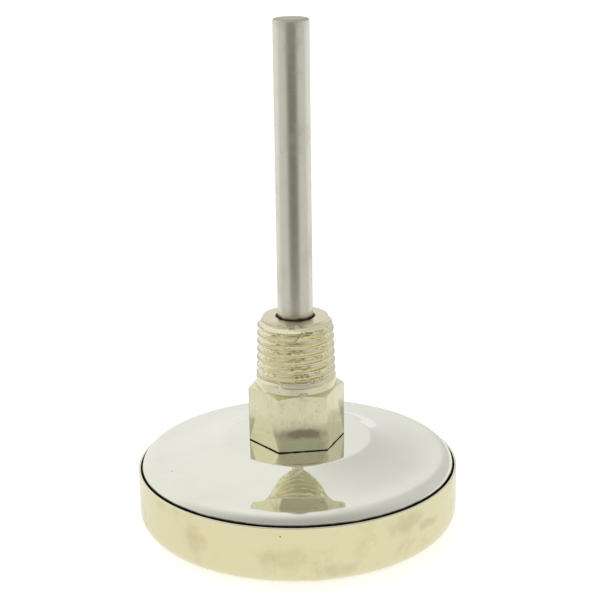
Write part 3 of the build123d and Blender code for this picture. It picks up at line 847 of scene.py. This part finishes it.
# ---- dial ------------------------------------------------------------------------------------
@dataclass
class Dial:
    """What is printed on the dial: marks, numbers and the unit."""

    patterns: Patterns
    sweep: float = 270.0
    lowest: int = 0
    highest: int = 120
    number_step: int = 20
    long_step: int = 10
    short_step: int = 2
    mark_end: float = 21.6
    long_length: float = 2.8
    short_length: float = 1.5
    long_width: float = 0.42
    short_width: float = 0.2
    ink: float = 0.02
    number_circle: float = 16.4
    number_size: float = 3.1
    unit_size: float = 3.4
    unit_drop: float = 9.0

    def face(self) -> float:
        """Height of the dial's front face."""
        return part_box("dial_plate")[0].z

    def turn(self, value: float) -> float:
        """Angle of a reading from the dial's top, in radians, clockwise to its reader."""
        share = (value - self.lowest) / (self.highest - self.lowest)
        return math.radians(self.sweep * (share - 0.5))

    def make_marks(self, name: str, values: Iterable[int], length: float, width: float,
                   finish: bpy.types.Material) -> None:
        """Print one kind of mark round the scale.

        Args:
            name: The piece's name.
            values: The readings to mark.
            length: Each mark's length in millimetres.
            width: Each mark's width in millimetres.
            finish: The ink.
        """
        marks = []
        for value in values:
            deselect_all()
            bpy.ops.mesh.primitive_cube_add(size=1.0)
            mark = bpy.context.object
            mark.data.transform(Matrix.Diagonal((width * MM, length * MM, self.ink * MM, 1.0)))
            out = (self.mark_end - length / 2) * MM
            mark.data.transform(Matrix.Translation((0, out, self.face() - self.ink * MM / 2)))
            mark.data.transform(Matrix.Rotation(self.turn(value), 4, "Z"))
            marks.append(mark)
        place_on(join(marks, name), CASE_BODY, finish)

    def make_text(self, words: str, name: str, size: float, place: Vector,
                  thickness: float = 0.0) -> bpy.types.Object:
        """Print upright text that is read from below.

        Args:
            words: The text.
            name: The piece's name.
            size: Letter size in millimetres.
            place: The text's middle.
            thickness: Added to each stroke, in millimetres.

        Returns:
            The text as a mesh.
        """
        deselect_all()
        bpy.ops.object.text_add()
        text = bpy.context.object
        text.data.body = words
        text.data.align_x = "CENTER"
        text.data.align_y = "CENTER"
        text.data.size = size * MM
        text.data.offset = thickness * MM
        text.data.extrude = self.ink * MM / 2
        text.data.resolution_u = 4
        bpy.ops.object.convert(target="MESH")
        piece = bpy.context.object
        piece.name = name
        piece.data.transform(Matrix.Rotation(math.pi, 4, "Y"))
        piece.data.transform(Matrix.Translation(place))
        select_only(piece)
        bpy.ops.object.mode_set(mode="EDIT")
        bpy.ops.mesh.select_all(action="SELECT")
        bpy.ops.mesh.remove_doubles(threshold=0.001 * MM)
        bpy.ops.object.mode_set(mode="OBJECT")
        return piece

    def make(self) -> None:
        """Print the scale, its numbers and the unit."""
        black = INK_BLACK.build(self.patterns)
        every = range(self.lowest, self.highest + 1, self.short_step)
        long_marks = [value for value in every if value % self.long_step == 0]
        short_marks = [value for value in every if value % self.long_step]
        self.make_marks("scale_marks_long", long_marks, self.long_length, self.long_width, black)
        self.make_marks("scale_marks_short", short_marks, self.short_length, self.short_width, black)
        height = self.face() - self.ink * MM / 2
        numbers = []
        for value in range(self.lowest, self.highest + 1, self.number_step):
            turn = self.turn(value)
            place = Vector((-math.sin(turn), math.cos(turn), 0)) * self.number_circle * MM
            place.z = height
            numbers.append(self.make_text(str(value), "number", self.number_size, place, 0.02))
        place_on(join(numbers, "scale_numbers"), CASE_BODY, black)
        unit_place = Vector((0, -self.unit_drop * MM, height))
        unit = self.make_text("°C", "unit_mark", self.unit_size, unit_place, 0.02)
        place_on(unit, CASE_BODY, INK_RED.build(self.patterns))


# ---- frame pieces that stay ------------------------------------------------------------------
def dress_frame(nodes: dict[str, bpy.types.Object], patterns: Patterns) -> None:
    """Give every carried-over node its finish.

    Args:
        nodes: The frame's objects by name.
        patterns: The shared groups.
    """
    steel = MILL_STEEL.build(patterns)
    brass = TURNED_BRASS.build(patterns)
    finishes = {
        "window_gasket": RUBBER.build(patterns),
        "spacer_ring": SPACER_WHITE.build(patterns),
        "dial_plate": DIAL_WHITE.build(patterns),
        "dial_screws": steel,
        "stop_pins": brass,
        "seat_washer": RUBBER.build(patterns),
        "dial_bridge": steel,
        "lock_nut": brass,
        # The solder ring's near-black finish is partly painted shade of its recess.
        "solder_ring": SOLDER_AND_PAINTED_SHADE.build(patterns),
        "case_bushing": brass,
        "stem_bushing": brass,
        "helix_anchor": steel,
        "bimetal_helix": BIMETAL.build(patterns),
        "shaft_collar": brass,
        "pointer_shaft": steel,
        "pointer_hub": brass,
        "pointer": POINTER_BLACK.build(patterns),
    }
    for name, finish in finishes.items():
        nodes[name].data.materials.clear()
        nodes[name].data.materials.append(finish)
        LOG.info("%s: dressed in %s", name, finish.name)


# ---- studio ----------------------------------------------------------------------------------
@dataclass
class Studio:
    """A pale floor, soft light all round, the floor that metal mirrors, and the camera."""

    floor_size: float = 4.0
    floor_colour: Colour = (0.93, 0.93, 0.92)
    floor_glow: float = 0.5
    camera_distance: float = 0.26072
    camera_elevation: float = 17.11
    camera_aim: float = 0.03941
    camera_aside: float = 0.00083
    camera_roll: float = 0.81
    lens: float = 92.85
    sky_left: Colour = (0.90, 0.90, 0.90)
    sky_right: Colour = (0.66, 0.66, 0.66)
    sky_front: Colour = (0.45, 0.45, 0.45)
    sky_strength: float = 1.0
    mirrored_near: Colour = (0.92, 0.92, 0.91)
    mirrored_front: Colour = (0.66, 0.66, 0.65)
    mirrored_back: Colour = (0.88, 0.88, 0.87)
    mirrored_dark: Colour = (0.20, 0.18, 0.155)

    def make_floor(self) -> None:
        """Lay the floor."""
        deselect_all()
        bpy.ops.mesh.primitive_plane_add(size=self.floor_size)
        floor = bpy.context.object
        floor.name = "floor"
        material = bpy.data.materials.new("pale_floor")
        material.use_nodes = True
        shader = material.node_tree.nodes["Principled BSDF"]
        shader.inputs["Base Color"].default_value = (*self.floor_colour, 1.0)
        shader.inputs["Roughness"].default_value = 0.9
        shader.inputs["Emission Color"].default_value = (1.0, 1.0, 1.0, 1.0)
        shader.inputs["Emission Strength"].default_value = self.floor_glow
        floor.data.materials.append(material)

    def make_sky(self) -> None:
        """Surround the scene with soft light: white behind and left, greyer in front and right."""
        world = bpy.data.worlds.new("soft_studio")
        bpy.context.scene.world = world
        world.use_nodes = True
        graph = Graph(world.node_tree)
        background = world.node_tree.nodes["Background"]
        direction = graph.add("TexCoord").outputs["Generated"]
        axes = graph.add("SeparateXYZ", {0: direction}).outputs
        front = graph.ramp(graph.maths("MULTIPLY", axes[1], -1.0), -0.35, 0.9)
        right = graph.ramp(axes[0], -0.15, 0.45)
        white = graph.blend(right, self.sky_left, self.sky_right)
        colour = graph.blend(front, white, self.sky_front)
        graph.tree.links.new(colour, background.inputs["Color"])
        background.inputs["Strength"].default_value = self.sky_strength

    def make_mirrored_floor(self) -> None:
        """Lay the floor that polished metal mirrors: bright close by, dark out in front, grey elsewhere."""
        deselect_all()
        bpy.ops.mesh.primitive_plane_add(size=self.floor_size)
        card = bpy.context.object
        card.name = "mirrored_floor"
        card.data.transform(Matrix.Translation((0, 0, 0.2 * MM)))
        for kind in ("camera", "diffuse", "shadow", "transmission"):
            setattr(card, "visible_" + kind, False)
        material = bpy.data.materials.new("mirrored_floor")
        material.use_nodes = True
        graph = Graph(material.node_tree)
        shader = material.node_tree.nodes["Principled BSDF"]
        axes = graph.add("SeparateXYZ", {0: graph.add("TexCoord").outputs["Object"]}).outputs
        aside = graph.maths("ABSOLUTE", axes[0])
        ahead = graph.maths("MULTIPLY", axes[1], -1.0)
        reach = graph.maths("SQRT", graph.maths(
            "ADD", graph.maths("MULTIPLY", aside, aside), graph.maths("MULTIPLY", ahead, ahead)))
        far = graph.blend(graph.ramp(axes[1], 0.0, 0.06), self.mirrored_front, self.mirrored_back)
        colour = graph.blend(graph.ramp(reach, 0.05, 0.10), self.mirrored_near, far)
        spread = graph.maths("DIVIDE", aside, graph.maths("MAXIMUM", ahead, 0.001))
        cone = graph.maths("SUBTRACT", 1.0, graph.ramp(spread, 0.25, 1.0))
        dark = graph.maths("MULTIPLY", cone, graph.ramp(ahead, 0.075, 0.14))
        colour = graph.blend(dark, colour, self.mirrored_dark)
        graph.tree.links.new(colour, shader.inputs["Emission Color"])
        shader.inputs["Base Color"].default_value = (0.0, 0.0, 0.0, 1.0)
        shader.inputs["Specular IOR Level"].default_value = 0.0
        shader.inputs["Emission Strength"].default_value = 1.0
        card.data.materials.append(material)

    def make_camera(self) -> None:
        """Stand the camera in front, looking down at the object with a slight roll."""
        tilt = math.radians(self.camera_elevation)
        roll = math.radians(self.camera_roll)
        forward = Vector((0, math.cos(tilt), -math.sin(tilt)))
        across = Vector((1, 0, 0))
        upward = Vector((0, math.sin(tilt), math.cos(tilt)))
        place = Vector((self.camera_aside, 0, self.camera_aim)) - forward * self.camera_distance
        right = across * math.cos(roll) - upward * math.sin(roll)
        top = across * math.sin(roll) + upward * math.cos(roll)
        data = bpy.data.cameras.new("front_camera")
        data.lens = self.lens
        data.sensor_width = 36.0
        data.clip_start = 0.01
        camera = bpy.data.objects.new("front_camera", data)
        bpy.context.scene.collection.objects.link(camera)
        turn = Matrix((right, top, -forward)).transposed()
        camera.matrix_world = Matrix.Translation(place) @ turn.to_4x4()
        bpy.context.scene.camera = camera

    def make(self) -> None:
        """Set up camera, floor, sky and the mirrored floor."""
        self.make_camera()
        self.make_floor()
        self.make_sky()
        self.make_mirrored_floor()
        bpy.context.scene.view_settings.view_transform = "Standard"


def main() -> None:
    """Load the frame, build each sub-assembly, and log each piece's face count and finish."""
    logging.basicConfig(level=logging.INFO, format="%(message)s")
    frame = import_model()
    Studio().make()
    patterns = Patterns()
    dress_frame(frame["nodes"], patterns)
    Case(patterns).make()
    Stem(patterns).make(frame["nodes"]["hex_fitting"])
    Dial(patterns).make()


if __name__ == "__main__":
    main()
